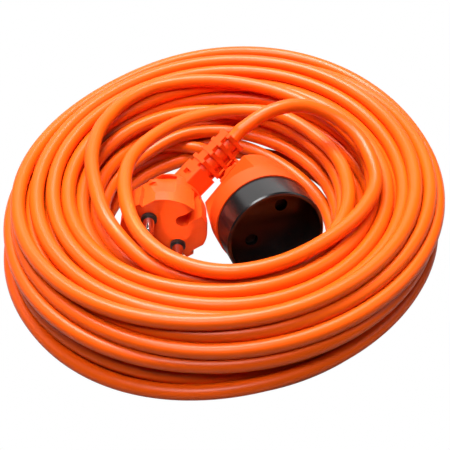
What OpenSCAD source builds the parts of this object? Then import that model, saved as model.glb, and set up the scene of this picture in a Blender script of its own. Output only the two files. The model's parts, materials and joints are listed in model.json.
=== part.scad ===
// Coiled two-pole extension cord: angled flat-faced plug, round-cup connector socket.
// Millimetres, +Z up, floor at z = 0, origin under the middle of the plug and the socket.

/* [Cord] */
// Outer diameter of the round sheathed cable
cord_d = 6; // [5.6:0.1:6.4]
// Radius of the hole through the coil
coil_inner_r = 51; // [50.5:0.1:53]
// Outer radius of the coil
coil_outer_r = 93.5; // [92:0.5:96]
// Height of the coil
coil_h = 31; // [30:0.5:33]

/* [Plug] */
// Radius of the plug's face
plug_r = 18; // [17.6:0.1:18]
// Half width of the plug between its two flat sides
plug_flat = 16; // [15.8:0.1:16.2]
// Depth of the plug's full outline, from its face
plug_rim_h = 11; // [10:0.5:12]
// Depth of the plug's moulded body, from its face
plug_h = 20; // [19.5:0.5:21]
// Distance between the two pins
pin_pitch = 19; // [19:0.1:19.2]
// Diameter of a pin
pin_d = 4.8; // [4.7:0.02:4.86]
// Free length of a pin
pin_l = 19; // [18:0.5:19.5]

/* [Socket] */
// Outer radius of the cup's rim
cup_r = 20.2; // [20:0.1:20.4]
// Depth of the cup's recess
cup_depth = 12; // [11.5:0.5:12]
// Thickness of the cup's rim wall
cup_wall = 1.4; // [1.2:0.1:1.8]
// Length of the cup's skirt that stands out of the housing
skirt_h = 13.6; // [13:0.2:13.6]
// Diameter of a pin hole in the cup's floor
hole_d = 5.4; // [5.2:0.1:5.6]
// Length of the socket's housing, from the rim
housing_l = 43; // [43:0.5:44]

/* [Hidden] */
$fn = 48;

// Where the plug's face and the socket's rim are, and how they are turned.
plug_place = [-23.6, -13.7, plug_r];
plug_roll = 54;
socket_place = [22.1, -26.3, cup_r + 7.1];
socket_yaw = 18;
socket_tilt = 13;
socket_roll = 45;
coil_centre = [1.7, 6];
coil_corner = 12;

// The plug's outline, its side slots and its earth hole.
tab_w = 3.6;
slot_w = 4.8;
slot_depth = 14;
earth_hole_y = 10;
earth_hole_r = 3;

// The plug's cable leaves its body on this slanted line.
exit_depth = 14;
exit_tilt = 30;
relief_root = 10;
relief_block_end = 22.3;
relief_block = [10.4, 12];
relief_tip = 41;
sheath_start = 16;

// Plug insides, measured back from the face.
bridge_front = 2.5;
bridge_back = 8.5;
collar_r = 3.2;
collar_out = 1.4;
pin_root_r = 2.2;
pin_tail_r = 1.4;
pin_tail_end = 11;
plug_crimp_end = 14;
crimp_r = 2.1;
core_r = 1.2;
strand_r = 0.8;
chamber_end = 17.6;
chamber_size = [24.4, 11];
chamber_shift = 0.7;

// Socket insides, measured back from the rim.
floor_t = 2.5;
cup_floor = cup_depth + floor_t;
shutter_gap = 0.3;
shutter_t = 2.2;
carrier_front = cup_floor + shutter_t + 2 * shutter_gap;
carrier_disc_t = 4.2;
carrier_t = 16.7;
carrier_back = carrier_front + carrier_t;
carrier_block = [27, 12];
housing_r = cup_r + 0.6;
collar_l = 8.8;
body_end = 37;
body_narrowing = 2.2;
cavity_r = 18;
pivot_r = 1.5;
pivot_fit = 0.05;
contact_r = 3.4;
contact_bore_r = 2.35;
socket_crimp_end = carrier_back + 2.6;
socket_crimp_r = 1.8;
socket_relief_tip = 63;
socket_sheath_start = 45;
relief_bore_r = cord_d / 2 + 0.05;

// The plug's lead: out of the strain relief, over the socket, round the hole twice, across the coil.
plug_route = concat(
    [for (t = [sheath_start, 42, 47]) plug_exit(t)],
    [
        [20, 29.2, 46.4], [32, 33.6, 46.6], [43.2, 33.6, 43.8], [53.4, 28.6, 40], [60.8, 17.5, 37],
        [63.2, -2, 35], [54.5, -20.5, 34.6], [39, -35.8, 34.3], [21, -46.8, 34.3], [1, -50.9, 34.3],
        [-18.5, -44.5, 34.6], [-32.3, -29.3, 34.8], [-38.8, -8, 34.6], [-38.5, 13, 33.2], [-30, 31.5, 31],
        [-15, 46.8, 28.8], [4.5, 55, 27], [25, 53.5, 26.4], [41, 39, 26.5], [51, 20.5, 26.8],
        [53, -1, 27.3], [47.5, -19.5, 27.8], [34, -38.5, 28], [13.5, -49.2, 28], [-8, -49.3, 28],
        [-28, -41.5, 29.3], [-43.2, -26, 34.4], [-50.5, -7, 35.5], [-54.2, 12.5, 35.5], [-53, 31, 35.2],
        [-48, 46, 34]
    ]);

// The socket's lead: out of its strain relief and into the coil.
socket_route = concat(
    [for (d = [socket_sheath_start, 60, 65]) socket_axis(d)],
    [
        [-1.9, 41.7, 11], [-9.5, 48.2, 9.8], [-19.2, 51.2, 9.2], [-29.3, 50.2, 9], [-39, 45.8, 9]
    ]);

// ---- places -------------------------------------------------------------

// A point on the plug's slanted cable line, t along it from under the middle of the face.
function plug_exit(t) = plug_place + [
    t * cos(exit_tilt) * sin(plug_roll),
    exit_depth + t * sin(exit_tilt),
    t * cos(exit_tilt) * cos(plug_roll)];

// A point on the socket's axis, d behind the rim.
function socket_axis(d) = socket_place + d * [
    -sin(socket_yaw) * cos(socket_tilt),
    cos(socket_yaw) * cos(socket_tilt),
    -sin(socket_tilt)];

// The plug's own frame: +Z out along the pins, +X along the pin line, +Y to the earth-clip slot.
module in_plug() {
    translate(plug_place) rotate([0, plug_roll, 0]) rotate([90, 0, 0]) children();
}

// The frame of the plug's strain relief: +Z along the cable.
module in_plug_exit() {
    in_plug() translate([0, 0, -exit_depth]) rotate([-90 - exit_tilt, 0, 0]) children();
}

// The socket's own frame: +Z out of the cup, +X along the line of the pin holes.
module in_socket() {
    translate(socket_place) rotate([90 - socket_tilt, 0, socket_yaw])
        rotate([0, 0, socket_roll]) children();
}

module at_poles() {
    for (side = [-1, 1])
        translate([side * pin_pitch / 2, 0, 0]) children();
}

// ---- shared shapes ------------------------------------------------------

// A rectangle with round corners, centred, made of exact arcs.
module rounded_rect(size, r) {
    square([size[0] - 2 * r, size[1]], center = true);
    square([size[0], size[1] - 2 * r], center = true);
    for (x = [-1, 1], y = [-1, 1])
        translate([x * (size[0] / 2 - r), y * (size[1] / 2 - r)]) circle(r);
}

module tube(outer_r, inner_r, z0, z1) {
    translate([0, 0, z0]) difference() {
        cylinder(h = z1 - z0, r = outer_r);
        translate([0, 0, -1]) cylinder(h = z1 - z0 + 2, r = inner_r);
    }
}

module rod(r, z0, z1) {
    translate([0, 0, z0]) cylinder(h = z1 - z0, r = r);
}

// A point between p1 and p2 on a smooth curve through p0 to p3.
function smooth_point(p0, p1, p2, p3, s) = 0.5 * (2 * p1 + (p2 - p0) * s
    + (2 * p0 - 5 * p1 + 4 * p2 - p3) * s * s
    + (3 * p1 - p0 - 3 * p2 + p3) * s * s * s);

// A route with steps points for each stretch between its own points.
function smooth_route(p, steps) = let (last = len(p) - 1) concat(
    [for (i = [0 : last - 1], k = [0 : steps - 1])
        smooth_point(p[max(i - 1, 0)], p[i], p[i + 1], p[min(i + 2, last)], k / steps)],
    [p[last]]);

function unit(v) = v / norm(v);

// A closed tube of the given number of sides along the points of p.
module sweep(p, r, sides) {
    last = len(p) - 1;
    rings = [for (i = [0 : last])
        let (
            along = unit(p[min(i + 1, last)] - p[max(i - 1, 0)]),
            side = unit(cross(along, [0, 0, 1])),
            over = cross(side, along)
        )
        for (k = [0 : sides - 1])
            p[i] + r * (cos(360 * k / sides) * side + sin(360 * k / sides) * over)];
    walls = [for (i = [0 : last - 1], k = [0 : sides - 1])
        let (a = i * sides + k, b = i * sides + (k + 1) % sides)
        [a, b, b + sides, a + sides]];
    start_cap = [for (k = [sides - 1 : -1 : 0]) k];
    end_cap = [for (k = [0 : sides - 1]) last * sides + k];
    polyhedron(rings, concat(walls, [start_cap, end_cap]), convexity = 6);
}

// A ladder-shaped strain relief on +Z: a block, a thinning core, ribs and two side rails.
module ladder_relief(root, block_end, tip, block) {
    rib_t = 1.9;
    ribs = 4;
    pitch = (tip - rib_t - block_end - 1.8) / (ribs - 1);
    difference() {
        union() {
            translate([0, 0, root]) linear_extrude(block_end - root) rounded_rect(block, 0.8);
            translate([0, 0, block_end]) cylinder(h = tip - block_end, r1 = 4.6, r2 = 3.9);
            for (i = [0 : ribs - 1])
                translate([0, 0, block_end + 1.8 + i * pitch]) linear_extrude(rib_t)
                    rounded_rect([11.6 - 0.5 * i, 10.2 - 0.4 * i], 0.8);
            for (side = [-1, 1])
                translate([side * 4.3, 0, block_end]) linear_extrude(tip - block_end - 0.4)
                    square([1.8, 5.4], center = true);
        }
        rod(relief_bore_r, root - 1, tip + 1);
    }
}

// ---- cord ---------------------------------------------------------------

module cord_coil() {
    color("orangered") translate(coil_centre) rotate_extrude()
        translate([(coil_inner_r + coil_outer_r) / 2, coil_h / 2])
            rounded_rect([coil_outer_r - coil_inner_r, coil_h], coil_corner);
}

module plug_lead() {
    color("orange") sweep(smooth_route(plug_route, 2), cord_d / 2, 10);
}

module socket_lead() {
    color("orange") sweep(smooth_route(socket_route, 2), cord_d / 2, 10);
}

// ---- plug ---------------------------------------------------------------

// The outline of the face: a circle with two flat sides, each with a tab in its middle.
module plug_outline(r, flat) {
    intersection() {
        circle(r);
        square([2 * flat, 2 * r], center = true);
    }
    intersection() {
        circle(r);
        square([2 * r, tab_w], center = true);
    }
}

// The narrower back of the body, which runs up to the strain relief.
module plug_back() {
    hull() {
        translate([0, 0, -plug_rim_h]) linear_extrude(0.5) intersection() {
            circle(plug_r - 1.5, $fn = 64);
            square([27.5, 40], center = true);
        }
        translate([0, 0, -plug_h + 2]) linear_extrude(1) intersection() {
            circle(plug_r - 2.5, $fn = 64);
            square([26, 40], center = true);
        }
        translate([0, -1, -plug_h]) linear_extrude(0.5) square([20, 22], center = true);
        translate([0, 8, -plug_h - 2.6]) linear_extrude(0.5) square([12, 6], center = true);
    }
    translate([0, 0, -exit_depth]) rotate([-90 - exit_tilt, 0, 0])
        translate([0, 0, 4]) linear_extrude(relief_root - 3) rounded_rect([13, 14.4], 1.2);
}

// The raised bars along the two side edges of the back.
module plug_ridges() {
    for (side = [-1, 1])
        translate([side * 13.2, 8.2, -plug_h + 4.4]) cube([2.2, 11, 2.2], center = true);
}

// The sloping grip panel on each upper side, behind the rim.
module plug_panels() {
    width = 10.8;
    for (side = [-1, 1])
        rotate([0, 0, 90 + side * 54]) translate([0, width / 2, 0]) rotate([90, 0, 0])
            linear_extrude(width)
                polygon([[17.1, -4.7], [25, -4.7], [25, -17.6], [13.5, -17.6]]);
}

// The room inside the body for the bridge, the crimps and the cores.
module plug_cavity() {
    at_poles() rod(collar_r, -bridge_front - 1, 1);
    translate([0, 0, -bridge_back])
        linear_extrude(bridge_back - bridge_front) rounded_rect([27, 9], 3);
    translate([0, chamber_shift, -chamber_end])
        linear_extrude(chamber_end - bridge_back + 1) rounded_rect(chamber_size, 3);
    translate([0, 0, -exit_depth]) rotate([-90 - exit_tilt, 0, 0]) rod(4.2, 0, relief_root + 1);
}

module plug_body() {
    color("orangered") in_plug() difference() {
        union() {
            translate([0, 0, -5]) linear_extrude(5) plug_outline(plug_r, plug_flat);
            translate([0, 0, -plug_rim_h]) linear_extrude(plug_rim_h - 5)
                plug_outline(plug_r - 0.5, plug_flat - 0.5);
            plug_back();
            plug_ridges();
        }
        plug_panels();
        for (side = [0, 180])
            rotate([0, 0, side])
                translate([-slot_w / 2, earth_hole_y + side / 30, -slot_depth])
                    cube([slot_w, 20, slot_depth + 1]);
        translate([0, earth_hole_y, 0]) rod(earth_hole_r, -slot_depth, 1);
        plug_cavity();
        translate([0, 0, -exit_depth]) rotate([-90 - exit_tilt, 0, 0])
            translate([0, 0, relief_root]) linear_extrude(relief_tip) rounded_rect(relief_block, 0.8);
    }
}

module plug_bridge() {
    color("dimgray") in_plug() difference() {
        union() {
            translate([0, 0, -bridge_back]) linear_extrude(bridge_back - bridge_front)
                rounded_rect([27, 9], 3);
            at_poles() rod(collar_r, -bridge_back, collar_out);
        }
        at_poles() rod(pin_root_r, -bridge_back - 1, collar_out + 1);
    }
}

// One pin: a root held by the bridge, a plain shaft with a rounded tip, and a tail for the crimp.
module plug_pin(side) {
    tip = 1.2;
    color("silver") in_plug() translate([side * pin_pitch / 2, 0, 0]) {
        rod(pin_root_r, -bridge_back, collar_out + 0.1);
        rod(pin_d / 2, collar_out + 0.1, pin_l - tip);
        translate([0, 0, pin_l - tip]) cylinder(h = tip, r1 = pin_d / 2, r2 = pin_d / 2 - tip);
        rod(pin_tail_r, -pin_tail_end, -bridge_back);
    }
}

module plug_crimps() {
    color("goldenrod") in_plug() at_poles()
        tube(crimp_r, pin_tail_r, -plug_crimp_end, -bridge_back);
}

// The stripped copper between a crimp and its core, on both sides.
module plug_copper() {
    color("peru") in_plug() at_poles() rod(strand_r, -plug_crimp_end - 2.2, -pin_tail_end);
}

// One insulated core, from its copper strands to the end of the sheath.
module plug_core(side, colour) {
    lead_in = 8;
    color(colour) in_plug() sweep(smooth_route([
        [side * (pin_pitch / 2 - strand_r - 0.1), 0, -plug_crimp_end - 1.4],
        [side * (pin_pitch / 2 - 5), 2, -plug_crimp_end - 1.6],
        [side * 1.5, lead_in * cos(exit_tilt), -exit_depth - lead_in * sin(exit_tilt)],
        [side * 1.5, sheath_start * cos(exit_tilt), -exit_depth - sheath_start * sin(exit_tilt)]
        ], 3), core_r, 10);
}

module plug_strain_relief() {
    color("orangered") in_plug_exit() difference() {
        ladder_relief(relief_root, relief_block_end, relief_tip, relief_block);
        translate([-relief_block[0] / 2, -0.4, 17.5]) cube([3, 5, 2.2], center = true);
    }
}

// ---- socket -------------------------------------------------------------

module socket_cup() {
    color("black") in_socket() difference() {
        union() {
            rod(cup_r, -skirt_h, -0.6);
            translate([0, 0, -0.6]) cylinder(h = 0.6, r1 = cup_r, r2 = cup_r - 0.5);
            rod(cup_r - cup_wall, -cup_floor, -skirt_h);
        }
        rod(cup_r - cup_wall, -cup_depth, 1);
        at_poles() rod(hole_d / 2, -cup_floor - 1, 1);
    }
}

// The outline of the housing behind its collar: a circle with two flats and four grip panels.
module housing_outline(r) {
    intersection() {
        circle(r, $fn = 64);
        square([2 * r, 1.44 * r], center = true);
        for (side = [-1, 1])
            rotate(side * 30) square([1.91 * r, 3 * r], center = true);
    }
}

module socket_housing() {
    color("orangered") in_socket() difference() {
        union() {
            rod(housing_r, -skirt_h - collar_l, -skirt_h);
            hull() {
                translate([0, 0, -skirt_h - collar_l]) linear_extrude(0.2) housing_outline(housing_r);
                translate([0, 0, -body_end]) linear_extrude(0.2)
                    housing_outline(housing_r - body_narrowing);
            }
            hull() {
                translate([0, 0, -body_end]) linear_extrude(0.2)
                    housing_outline(housing_r - body_narrowing);
                translate([0, 0, -housing_l]) linear_extrude(0.2) rounded_rect([20, 18], 3, $fn = 32);
            }
        }
        rod(cup_r - cup_wall, -cup_floor, -skirt_h + 1);
        rod(cavity_r, -carrier_front - carrier_disc_t, -cup_floor);
        translate([0, 0, -carrier_back]) linear_extrude(carrier_t) rounded_rect(carrier_block, 3);
        translate([0, 0, -socket_crimp_end - 0.3]) linear_extrude(4) rounded_rect([23.2, 5], 2.2);
        translate([0, 0, -socket_crimp_end - 3.2]) linear_extrude(4) rounded_rect([21.6, 3.4], 1.6);
        rod(4.2, -housing_l - 1, -carrier_back);
    }
}

module socket_contact_carrier() {
    color("ivory") in_socket() difference() {
        union() {
            rod(cavity_r, -carrier_front - carrier_disc_t, -carrier_front);
            translate([0, 0, -carrier_back]) linear_extrude(carrier_t - 1)
                rounded_rect(carrier_block, 3);
        }
        at_poles() rod(contact_r, -carrier_back - 1, -carrier_front + 1);
        rod(pivot_r, -carrier_front - 4, 1);
        tube(4, 2.4, -carrier_front - 2.6, -carrier_front + 1);
    }
}

// One contact: a brass sleeve slit on both sides, with a tail for the crimp.
module socket_contact(side) {
    color("gold") in_socket() translate([side * pin_pitch / 2, 0, 0]) {
        difference() {
            tube(contact_r, contact_bore_r, -carrier_back + 1.5, -carrier_front - 0.8);
            translate([0, 0, -carrier_front - 5]) cube([1, 9, 9], center = true);
        }
        rod(contact_r, -carrier_back, -carrier_back + 1.5);
        rod(pin_tail_r, -carrier_back - 2, -carrier_back);
    }
}

// The shutter: a hub on the pivot with two wings, which hide the holes until they are turned away.
module socket_shutter() {
    color("whitesmoke") in_socket()
        translate([0, 0, -cup_floor - shutter_gap - shutter_t]) linear_extrude(shutter_t)
            difference() {
                union() {
                    circle(5.2);
                    intersection() {
                        circle(13.4);
                        rounded_rect([30, 7], 1);
                    }
                }
                circle(pivot_r + pivot_fit);
            }
}

module socket_shutter_pivot() {
    color("silver") in_socket() rod(pivot_r, -carrier_front - 4, -cup_floor);
}

// The light return spring: three turns in the carrier's round groove.
module socket_shutter_spring() {
    wire_r = 0.35;
    color("gray") in_socket() for (turn = [0 : 2])
        translate([0, 0, -carrier_front - 2.1 + turn * 2 * wire_r]) rotate_extrude()
            translate([3.2, 0]) circle(wire_r);
}

module socket_crimps() {
    color("goldenrod") in_socket() at_poles()
        tube(socket_crimp_r, pin_tail_r, -socket_crimp_end, -carrier_back - 0.1);
}

module socket_copper() {
    color("peru") in_socket() at_poles() rod(strand_r, -socket_crimp_end - 2, -carrier_back - 2);
}

module socket_core(side, colour) {
    color(colour) in_socket() sweep(smooth_route([
        [side * (pin_pitch / 2 - strand_r - 0.1), 0, -socket_crimp_end - 1.3],
        [side * (pin_pitch / 2 - 4.5), 0, -socket_crimp_end - 1.3],
        [side * 1.6, 0, -socket_crimp_end - 2.9],
        [side * 1.5, 0, -socket_sheath_start + 1.2],
        [side * 1.5, 0, -socket_sheath_start]], 3), core_r, 10);
}

module socket_strain_relief() {
    color("orangered") in_socket() {
        mirror([0, 0, 1]) ladder_relief(housing_l, housing_l + 1.5, socket_relief_tip, [12, 12]);
        tube(4.2, relief_bore_r, -housing_l, -housing_l + 0.8);
    }
}

cord_coil();
plug_lead();
socket_lead();
plug_body();
plug_bridge();
plug_pin(-1);  // plug_pin_live
plug_pin(1);  // plug_pin_neutral
plug_crimps();
plug_core(-1, "saddlebrown");  // plug_core_brown
plug_core(1, "royalblue");  // plug_core_blue
plug_copper();
plug_strain_relief();
socket_housing();
socket_cup();
socket_contact_carrier();
socket_contact(-1);  // socket_contact_live
socket_contact(1);  // socket_contact_neutral
socket_shutter();
socket_shutter_pivot();
socket_shutter_spring();
socket_crimps();
socket_core(-1, "saddlebrown");  // socket_core_brown
socket_core(1, "royalblue");  // socket_core_blue
socket_copper();
socket_strain_relief();
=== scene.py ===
"""Looks for the coiled extension cord: one continuous cable wound round its plug and its connector socket."""
import json
import math

import bpy
import numpy as np
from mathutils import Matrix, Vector


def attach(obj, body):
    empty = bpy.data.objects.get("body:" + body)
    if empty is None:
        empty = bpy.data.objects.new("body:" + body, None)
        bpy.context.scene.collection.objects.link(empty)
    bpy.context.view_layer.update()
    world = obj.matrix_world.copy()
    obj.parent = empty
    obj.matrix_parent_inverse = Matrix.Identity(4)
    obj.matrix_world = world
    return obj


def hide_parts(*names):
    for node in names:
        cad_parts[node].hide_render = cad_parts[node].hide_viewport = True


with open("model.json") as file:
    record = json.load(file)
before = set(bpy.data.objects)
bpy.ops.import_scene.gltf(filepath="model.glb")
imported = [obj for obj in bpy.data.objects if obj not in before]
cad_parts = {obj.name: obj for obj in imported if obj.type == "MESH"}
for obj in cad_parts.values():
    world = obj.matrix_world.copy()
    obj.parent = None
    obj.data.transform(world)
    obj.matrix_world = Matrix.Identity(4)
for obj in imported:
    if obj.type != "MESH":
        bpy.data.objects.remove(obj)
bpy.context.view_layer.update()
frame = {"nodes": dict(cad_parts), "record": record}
node = frame["nodes"]

# ---- sizes, in metres, repeated from the part ------------------------------

CORD_D = 0.006
CORD_R = CORD_D / 2
PLUG_PLACE = Vector((-0.0236, -0.0137, 0.018))
PLUG_ROLL = math.radians(54)
EXIT_DEPTH = 0.014
EXIT_TILT = math.radians(30)
SOCKET_PLACE = Vector((0.0221, -0.0263, 0.0273))
SOCKET_YAW = math.radians(18)
SOCKET_TILT = math.radians(13)
COIL_CENTRE = Vector((0.0017, 0.006, 0))


def plug_exit(t):
    """A point on the plug's slanted cable line, t along it."""
    across = t * math.cos(EXIT_TILT)
    return PLUG_PLACE + Vector((across * math.sin(PLUG_ROLL), EXIT_DEPTH + t * math.sin(EXIT_TILT),
                                across * math.cos(PLUG_ROLL)))


def socket_axis(d):
    """A point on the socket's axis, d behind its rim."""
    along = d * math.cos(SOCKET_TILT)
    return SOCKET_PLACE + Vector((-along * math.sin(SOCKET_YAW), along * math.cos(SOCKET_YAW),
                                  -d * math.sin(SOCKET_TILT)))


# The cable's uncoiled stretches. The first runs from the plug over the socket and twice round the hole.
PLUG_ROUTE = [tuple(plug_exit(t)) for t in (0.016, 0.042, 0.047)] + [
    (0.02, 0.0292, 0.0464), (0.032, 0.0336, 0.0466), (0.0432, 0.0336, 0.0438), (0.0534, 0.0286, 0.04),
    (0.0608, 0.0175, 0.037), (0.0632, -0.002, 0.035), (0.0545, -0.0205, 0.0346), (0.039, -0.0358, 0.0343),
    (0.021, -0.0468, 0.0343), (0.001, -0.0509, 0.0343), (-0.0185, -0.0445, 0.0346),
    (-0.0323, -0.0293, 0.0348), (-0.0388, -0.008, 0.0346), (-0.0385, 0.013, 0.0332),
    (-0.03, 0.0315, 0.031), (-0.015, 0.0468, 0.0288), (0.0045, 0.055, 0.027), (0.025, 0.0535, 0.0264),
    (0.041, 0.039, 0.0265), (0.051, 0.0205, 0.0268), (0.053, -0.001, 0.0273), (0.0475, -0.0195, 0.0278),
    (0.034, -0.0385, 0.028), (0.0135, -0.0492, 0.028), (-0.008, -0.0493, 0.028),
    (-0.028, -0.0415, 0.0293), (-0.0432, -0.026, 0.0344), (-0.0505, -0.007, 0.0355),
    (-0.0542, 0.0125, 0.0355), (-0.053, 0.031, 0.0352), (-0.048, 0.046, 0.034)]
SOCKET_ROUTE = [tuple(socket_axis(d)) for d in (0.045, 0.060, 0.065)] + [
    (-0.0019, 0.0417, 0.011), (-0.0095, 0.0482, 0.0098), (-0.0192, 0.0512, 0.0092),
    (-0.0293, 0.0502, 0.009), (-0.039, 0.0458, 0.009)]

# ---- camera -----------------------------------------------------------------

LOOK_AT = Vector((0.0017, -0.007, 0.015))
CAMERA_DISTANCE = 0.385
CAMERA_HEIGHT = math.radians(45)
LENS_MM = 73.3
camera_data = bpy.data.cameras.new("camera")
camera_data.lens = LENS_MM
camera_data.clip_start = 0.01
camera = bpy.data.objects.new("camera", camera_data)
bpy.context.scene.collection.objects.link(camera)
away = Vector((0, -math.cos(CAMERA_HEIGHT), math.sin(CAMERA_HEIGHT)))
camera.location = LOOK_AT + CAMERA_DISTANCE * away
camera.rotation_euler = away.to_track_quat("Z", "Y").to_euler()
bpy.context.scene.camera = camera

# ---- the cable's line --------------------------------------------------------

# The coil is worked out at this many evenly spaced angles in each turn.
STATIONS = 96
# Its layers from top to bottom: height in millimetres, number of turns, and whether they are wound outward.
LAYERS = [
    (30.0, 5, True), (25.2, 5, False), (19.8, 5, True), (14.2, 5, False), (8.6, 6, True), (3.0, 6, False)]
# Angles round the coil in degrees, each with the outermost turn's radius in millimetres, top and bottom.
OUTLINE = [
    (-180, 84.5, 91.5), (-160, 86, 95), (-140, 86, 98), (-120, 84, 97), (-95, 80, 92), (-70, 80, 85.5),
    (-45, 81, 81), (-20, 84, 80.5), (0, 87, 84), (25, 91.5, 88), (45, 98.5, 93), (65, 103, 97),
    (85, 99.5, 94), (105, 92, 89), (125, 80, 83), (150, 79, 86), (180, 84.5, 91.5)]
# The innermost turn's radius in millimetres, top and bottom.
INNER = (61.0, 55.0)
# The height in metres at which the top radii hold. The bottom radii hold at the floor.
TOP_LAYER = 0.030
# Turns that stray from the pile: which turn, at what angle and over what width in degrees, and how far it
# strays outward and upward in millimetres.
STRAYS = [
    (9.6, 20, 70, -8, 0), (10.4, 10, 50, -5, 1), (19.3, 15, 70, -10, 1), (20.3, 35, 75, -15, 2),
    (31.2, 110, 70, -13, 0), (20.8, -175, 45, -9, 0), (30.5, -41, 50, 4, 0), (14.5, -150, 50, -4, 1)]
# Loose winding: smooth noise in a turn's radius and height.
NOISE_SEED = 11
NOISE_WAVES = 1.2
NOISE_OUT = 0.0030
NOISE_UP = 0.0022
# A turn keeps its seat for the first part of a lap, and then moves to the next seat over the second part.
SEAT_KEPT = 0.45
SEAT_CHANGE = 0.5
# How the leads run on into the coil: number of stations at each end that keep to the lead's slope, number
# over which that slope fades, and the part of a turn over which the coil takes over.
HELD = 7
SLOPE_FADE = 5
LEAD_BLEND = 0.25
# How the turns settle: number of steps, and per step the fall, the pull to each turn's own place, the
# cable's stiffness, and how much of an overlap is pushed apart.
SETTLE_STEPS = 900
FALL = 0.00003
PULL_OUT = 0.02
PULL_UP = 0.006
STIFFNESS = 0.45
PUSH = 0.7
RADIUS_RANGE = (0.039, 0.106)
SMOOTHING_PASSES = 8
# Stretches of the leads nearer the middle than this lie in the hole, where the coil has no turns.
HOLE_RADIUS = 0.034
# A lead stops counting as an obstacle this angle before it becomes the coil.
JOIN_GAP = 0.02
# Places far from every turn, for grid cells with nothing in them.
EMPTY_CELL = 5.0
FAR_AWAY = 9.0


def smooth_route(points, steps):
    """A smooth line through points, with steps stretches between each pair."""
    p = np.array(points, float)
    ends = np.vstack([p[:1], p, p[-1:]])
    s = (np.arange(steps) / steps)[:, None]
    line = [0.5 * (2 * b + (c - a) * s + (2 * a - 5 * b + 4 * c - d) * s ** 2
                   + (3 * b - a - 3 * c + d) * s ** 3)
            for a, b, c, d in zip(ends[:-3], ends[1:-2], ends[2:-1], ends[3:])]
    return np.vstack(line + [p[-1:]])


def polar(line):
    """Clockwise angle, radius and height of each point of a line, round the coil's middle."""
    x, y = line[:, 0] - COIL_CENTRE.x, line[:, 1] - COIL_CENTRE.y
    return np.unwrap(-np.arctan2(y, x)), np.hypot(x, y), line[:, 2]


def wobble(rng, count, waves, size):
    """Smooth noise along the cable, with up to the given number of waves per turn."""
    turns = count / STATIONS
    knots = rng.normal(0, size, int(turns * waves * 2) + 4)
    at = np.linspace(0, len(knots) - 4, count)
    i = at.astype(int)
    t = at - i
    a, b, c, d = (knots[i + k] for k in range(4))
    return ((1 - t) ** 3 * a + (3 * t ** 3 - 6 * t ** 2 + 4) * b + (-3 * t ** 3 + 3 * t ** 2 + 3 * t + 1) * c
            + t ** 3 * d) / 6


def polar_slope(line, step):
    """How fast a line's end moves out and up, per station, where it runs on into the coil."""
    angle, r, z = polar(line)
    turn = angle[-1] - angle[-4]
    return (r[-1] - r[-4]) / abs(turn) * step, (z[-1] - z[-4]) / abs(turn) * step


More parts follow.
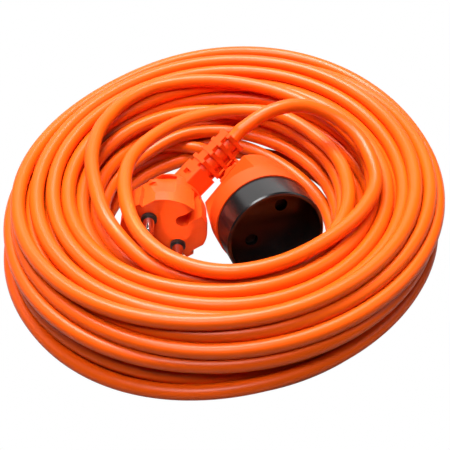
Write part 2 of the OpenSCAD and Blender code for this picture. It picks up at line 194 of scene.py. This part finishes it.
def wind_coil(plug_line, socket_line):
    """The coil's turns: each starts in its own place in the layers, then they settle against each other."""
    rng = np.random.default_rng(NOISE_SEED)
    lead_angle, lead_r, lead_z = polar(plug_line)
    tail_angle, tail_r, tail_z = polar(socket_line[::-1])
    start = lead_angle[-1]
    seats = [((k if outward else count - 1 - k) / (count - 1), z / 1000)
             for z, count, outward in LAYERS for k in range(count)]
    turns = len(seats)
    lap = 2 * math.pi
    step = lap / STATIONS
    tail_start = tail_angle[0] + lap * round((start + turns * lap - tail_angle[0]) / lap)
    count = int(round((tail_start - start) / step))
    angle = start + np.arange(count + 1) * (tail_start - start) / count
    turn = (angle - start) / lap
    seat_u = np.array([k[0] for k in seats] + [0.0])
    seat_z = np.array([k[1] for k in seats] + [tail_z[0]])
    i = np.clip(turn.astype(int), 0, turns - 1)
    t = np.clip((turn - i - SEAT_KEPT) / SEAT_CHANGE, 0, 1)
    t = t * t * (3 - 2 * t)
    aim_u = seat_u[i] * (1 - t) + seat_u[i + 1] * t
    aim_z = seat_z[i] * (1 - t) + seat_z[i + 1] * t
    bearing = (np.degrees(-angle) + 180) % 360 - 180
    high = np.clip(aim_z / TOP_LAYER, 0, 1)
    top, bottom = (np.interp(bearing, [k[0] for k in OUTLINE], [k[c] for k in OUTLINE]) for c in (1, 2))
    outer = (bottom + (top - bottom) * high) / 1000
    inner = (INNER[1] + (INNER[0] - INNER[1]) * high) / 1000
    aim_r = inner + (outer - inner) * aim_u + wobble(rng, len(angle), NOISE_WAVES, NOISE_OUT)
    aim_z += wobble(rng, len(angle), NOISE_WAVES, NOISE_UP)
    for which, at, width, out, up in STRAYS:
        ahead = (bearing[np.argmin(abs(turn - which))] - at + 180) % 360 - 180
        off = (turn - which) * 360 - ahead
        bump = np.exp(-(off / width) ** 2)
        aim_r += out / 1000 * bump
        aim_z += up / 1000 * bump
    r, z = aim_r.copy(), aim_z.copy()
    # The leads run on into the coil at their own slope before the turns are free to settle.
    fade = SLOPE_FADE * (1 - np.exp(-np.arange(HELD) / SLOPE_FADE))
    plug_out, plug_up = polar_slope(plug_line, step)
    socket_out, socket_up = polar_slope(socket_line, step)
    r[:HELD], z[:HELD] = lead_r[-1] + plug_out * fade, lead_z[-1] + plug_up * fade
    r[-HELD:], z[-HELD:] = (tail_r[0] + socket_out * fade)[::-1], (tail_z[0] + socket_up * fade)[::-1]
    blend = np.clip((np.arange(len(r)) - HELD + 1) / (STATIONS * LEAD_BLEND), 0, 1)
    free = slice(HELD, -HELD)
    for held_at, part in ((HELD - 1, blend), (-HELD, blend[::-1])):
        for v in (r, z):
            v[free] = (v[held_at] * (1 - part) + v * part)[free]
    held_r, held_z = r.copy(), z.copy()
    aim_r, aim_z = r.copy(), z.copy()

    # One row for each turn and one column for each station, so that turns side by side can push each other.
    rows = -(-len(r) // STATIONS)
    pad = rows * STATIONS - len(r)

    # Where the leads cross each station's half plane: they stay where they are.
    fixed = []
    for a, rr, zz in ((lead_angle, lead_r, lead_z), (tail_angle, tail_r, tail_z)):
        keep = rr > HOLE_RADIUS
        a, rr, zz = a[keep], rr[keep], zz[keep]
        for laps in range(-4, 5):
            at = start + np.arange(STATIONS) * step + laps * lap
            inside = (at >= a[0]) & (at < a[-1] - JOIN_GAP)
            if inside.any():
                fixed.append([np.where(inside, np.interp(at, a, v), FAR_AWAY) for v in (rr, zz)])
    fixed_r = np.array([f[0] for f in fixed])
    fixed_z = np.array([f[1] for f in fixed])

    def grid(v):
        """The line's values, one row for each turn and one column for each station."""
        return np.concatenate([v, np.full(pad, EMPTY_CELL)]).reshape(rows, STATIONS)

    # Two turns share the push between them, and a lead doesn't give way.
    share = np.full(rows + len(fixed), 0.5)
    share[rows:] = 1.0
    for _ in range(SETTLE_STEPS):
        z -= FALL
        r += PULL_OUT * (aim_r - r)
        z += PULL_UP * (aim_z - z)
        for v in (r, z, r, z):
            v[1:-1] += STIFFNESS * (0.5 * (v[:-2] + v[2:]) - v[1:-1])
        gr, gz = grid(r), grid(z)
        all_r, all_z = np.vstack([gr, fixed_r]), np.vstack([gz, fixed_z])
        dr = gr[:, None, :] - all_r[None, :, :]
        dz = gz[:, None, :] - all_z[None, :, :]
        d = np.sqrt(dr ** 2 + dz ** 2)
        d[np.arange(rows), np.arange(rows), :] = FAR_AWAY
        near = d < CORD_D
        push = np.where(near, (CORD_D - d) / np.maximum(d, 1e-5), 0)
        push *= share[None, :, None] * PUSH
        r = (gr + (push * dr).sum(1)).ravel()[:len(r)]
        z = (gz + (push * dz).sum(1)).ravel()[:len(z)]
        z = np.maximum(z, CORD_R)
        r = np.clip(r, *RADIUS_RANGE)
        for v, held in ((r, held_r), (z, held_z)):
            v[:HELD], v[-HELD:] = held[:HELD], held[-HELD:]
    # The last pushes leave ripples shorter than a bend of the cable, and these passes take them out.
    for v in (r, z) * SMOOTHING_PASSES:
        between = 0.5 * (v[HELD - 1:-HELD - 1] + v[HELD + 1:len(v) - HELD + 1])
        v[HELD:-HELD] += 0.5 * (between - v[HELD:-HELD])
    return np.column_stack([COIL_CENTRE.x + r * np.cos(-angle), COIL_CENTRE.y + r * np.sin(-angle), z])


plug_line = smooth_route(PLUG_ROUTE, 8)
socket_line = smooth_route(SOCKET_ROUTE, 6)
coil_line = wind_coil(plug_line, socket_line)
cable_line = np.vstack([plug_line, smooth_route(coil_line, 2)[1:-1], socket_line[::-1]])


def make_cable(name, line, radius):
    """A round cable as a curve along a line."""
    curve = bpy.data.curves.new(name, "CURVE")
    curve.dimensions = "3D"
    curve.bevel_depth = radius
    curve.bevel_resolution = 5
    curve.use_fill_caps = True
    spline = curve.splines.new("POLY")
    spline.points.add(len(line) - 1)
    spline.points.foreach_set("co", np.column_stack([line, np.ones(len(line))]).ravel())
    spline.use_smooth = True
    obj = bpy.data.objects.new(name, curve)
    bpy.context.scene.collection.objects.link(obj)
    return obj


cable = make_cable("cable", cable_line, CORD_R)

# ---- materials ---------------------------------------------------------------


def plastic(name, colour, roughness=0.4, grain=400.0, bump=0.02, variation=0.06, specular=0.5):
    """A moulded plastic: slight colour variation, a fine grain in its finish and a soft bump."""
    mat = bpy.data.materials.new(name)
    mat.use_nodes = True
    nodes, links = mat.node_tree.nodes, mat.node_tree.links
    shader = nodes["Principled BSDF"]
    place = nodes.new("ShaderNodeTexCoord")
    broad = nodes.new("ShaderNodeTexNoise")
    broad.inputs["Scale"].default_value = grain / 10
    broad.inputs["Detail"].default_value = 3
    fine = nodes.new("ShaderNodeTexNoise")
    fine.inputs["Scale"].default_value = grain * 4
    fine.inputs["Detail"].default_value = 4
    tint = nodes.new("ShaderNodeValToRGB")
    tint.color_ramp.elements[0].position = 0.3
    tint.color_ramp.elements[1].position = 0.7
    tint.color_ramp.elements[0].color = (*[c * (1 - variation) for c in colour], 1)
    tint.color_ramp.elements[1].color = (*[min(1, c * (1 + variation)) for c in colour], 1)
    rough = nodes.new("ShaderNodeMapRange")
    rough.inputs["To Min"].default_value = roughness * 0.85
    rough.inputs["To Max"].default_value = roughness * 1.15
    hump = nodes.new("ShaderNodeBump")
    hump.inputs["Strength"].default_value = bump
    hump.inputs["Distance"].default_value = 0.0003
    for noise in (broad, fine):
        links.new(place.outputs["Object"], noise.inputs["Vector"])
    links.new(broad.outputs["Fac"], tint.inputs["Fac"])
    links.new(tint.outputs["Color"], shader.inputs["Base Color"])
    links.new(fine.outputs["Fac"], rough.inputs["Value"])
    links.new(rough.outputs["Result"], shader.inputs["Roughness"])
    links.new(fine.outputs["Fac"], hump.inputs["Height"])
    links.new(hump.outputs["Normal"], shader.inputs["Normal"])
    shader.inputs["Specular IOR Level"].default_value = specular
    return mat


def metal(name, colour, roughness=0.2, streak=300.0):
    """A plated or drawn metal with faint streaks in its finish."""
    mat = plastic(name, colour, roughness=roughness, grain=streak, bump=0.01, variation=0.04)
    mat.node_tree.nodes["Principled BSDF"].inputs["Metallic"].default_value = 1
    return mat


looks = {
    "cable_sheath": plastic("cable_sheath", (0.75, 0.083, 0.002), roughness=0.34, grain=200, bump=0.01,
                            specular=0.24),
    "orange_moulding": plastic("orange_moulding", (0.73, 0.055, 0.004), roughness=0.42, grain=500,
                               bump=0.03, specular=0.18),
    "black_cup": plastic("black_cup", (0.006, 0.005, 0.005), roughness=0.24, grain=300, bump=0.01),
    "black_bridge": plastic("black_bridge", (0.012, 0.012, 0.013), roughness=0.35, grain=500),
    "nickel_pin": metal("nickel_pin", (0.80, 0.77, 0.74), roughness=0.13),
    "brass_contact": metal("brass_contact", (0.78, 0.60, 0.28), roughness=0.3),
    "copper_strand": metal("copper_strand", (0.80, 0.40, 0.22), roughness=0.3),
    "core_brown": plastic("core_brown", (0.14, 0.06, 0.03)),
    "core_blue": plastic("core_blue", (0.03, 0.16, 0.50)),
    "carrier_plastic": plastic("carrier_plastic", (0.72, 0.69, 0.60)),
    "shutter_plastic": plastic("shutter_plastic", (0.008, 0.008, 0.008), specular=0.25),
    "spring_steel": metal("spring_steel", (0.55, 0.56, 0.58), roughness=0.3),
}
slot_of = {s["node"]: s["material_slot"] for s in frame["record"]["subparts"]}
for name, obj in node.items():
    obj.data.materials.clear()
    obj.data.materials.append(looks[slot_of[name]])
cable.data.materials.append(looks["cable_sheath"])

# ---- the pieces on their bodies ------------------------------------------------

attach(cable, "cord_set")
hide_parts("cord_coil", "plug_lead", "socket_lead")

BEVEL_ANGLE = math.radians(35)
SHARP_ANGLE = math.radians(30)


def soften(obj, width):
    """Rounds a moulded piece's edges, as a mould leaves them."""
    bevel = obj.modifiers.new("soft_edges", "BEVEL")
    bevel.width = width
    bevel.segments = 3
    bevel.limit_method = "ANGLE"
    bevel.angle_limit = BEVEL_ANGLE
    bevel.harden_normals = False


for name in ("plug_body", "plug_strain_relief", "socket_strain_relief", "socket_housing"):
    soften(node[name], 0.0003)
soften(node["socket_cup"], 0.0004)
for name, obj in node.items():
    obj.data.shade_smooth()
    obj.data.set_sharp_from_angle(angle=SHARP_ANGLE)

# ---- floor, light and background ------------------------------------------------

FLOOR_HALF = 3
FLOOR_Z = -0.0003
floor_mesh = bpy.data.meshes.new("floor")
corners = [(x * FLOOR_HALF, y * FLOOR_HALF, FLOOR_Z) for x, y in ((-1, -1), (1, -1), (1, 1), (-1, 1))]
floor_mesh.from_pydata(corners, [], [(0, 1, 2, 3)])
floor = bpy.data.objects.new("floor", floor_mesh)
bpy.context.scene.collection.objects.link(floor)
paper = plastic("white_paper", (0.22, 0.22, 0.22), roughness=0.7, grain=50, bump=0.0, variation=0.01)
paper_nodes, paper_links = paper.node_tree.nodes, paper.node_tree.links
glow = paper_nodes.new("ShaderNodeEmission")
seen = paper_nodes.new("ShaderNodeLightPath")
either = paper_nodes.new("ShaderNodeMixShader")
paper_links.new(seen.outputs["Is Camera Ray"], either.inputs[0])
paper_links.new(paper_nodes["Principled BSDF"].outputs[0], either.inputs[1])
paper_links.new(glow.outputs[0], either.inputs[2])
paper_links.new(either.outputs[0], paper_nodes["Material Output"].inputs["Surface"])
floor_mesh.materials.append(paper)


def soft_box(name, place, aim, size, power, spread=180):
    """A rectangular studio light aimed at a point, with its beam as wide as the spread in degrees."""
    data = bpy.data.lights.new(name, "AREA")
    data.shape = "RECTANGLE"
    data.size, data.size_y = size
    data.energy = power
    data.spread = math.radians(spread)
    light = bpy.data.objects.new(name, data)
    bpy.context.scene.collection.objects.link(light)
    light.location = place
    light.rotation_euler = (Vector(place) - Vector(aim)).to_track_quat("Z", "Y").to_euler()


soft_box("top_light", (-0.08, 0.24, 0.62), (0, 0, 0), (0.42, 0.28), 11)
soft_box("back_light", (-0.1, 1.1, 0.38), (0, 0, 0), (1.7, 0.5), 4)
soft_box("front_light", (-0.08, -0.24, 0.72), (0, 0, 0), (0.32, 0.25), 3.9)
soft_box("plug_light", (-0.07, -0.26, 0.42), (-0.018, -0.012, 0.022), (0.02, 0.02), 0.0045, spread=5)
soft_box("left_light", (-0.8, 0.1, 0.5), (0, 0, 0), (0.4, 0.4), 1.0)
soft_box("right_light", (0.7, 0.0, 0.5), (0, 0, 0), (0.4, 0.4), 0.8)
world = bpy.data.worlds.new("world")
bpy.context.scene.world = world
world.use_nodes = True
world_nodes, world_links = world.node_tree.nodes, world.node_tree.links
white = world_nodes["Background"]
white.inputs["Color"].default_value = (1, 1, 1, 1)
dim = world_nodes.new("ShaderNodeBackground")
dim.inputs["Color"].default_value = (1, 1, 1, 1)
dim.inputs["Strength"].default_value = 0.012
looked_at = world_nodes.new("ShaderNodeLightPath")
sky = world_nodes.new("ShaderNodeMixShader")
world_links.new(looked_at.outputs["Is Camera Ray"], sky.inputs[0])
world_links.new(dim.outputs[0], sky.inputs[1])
world_links.new(white.outputs[0], sky.inputs[2])
world_links.new(sky.outputs[0], world_nodes["World Output"].inputs["Surface"])
bpy.context.scene.view_settings.view_transform = "Standard"
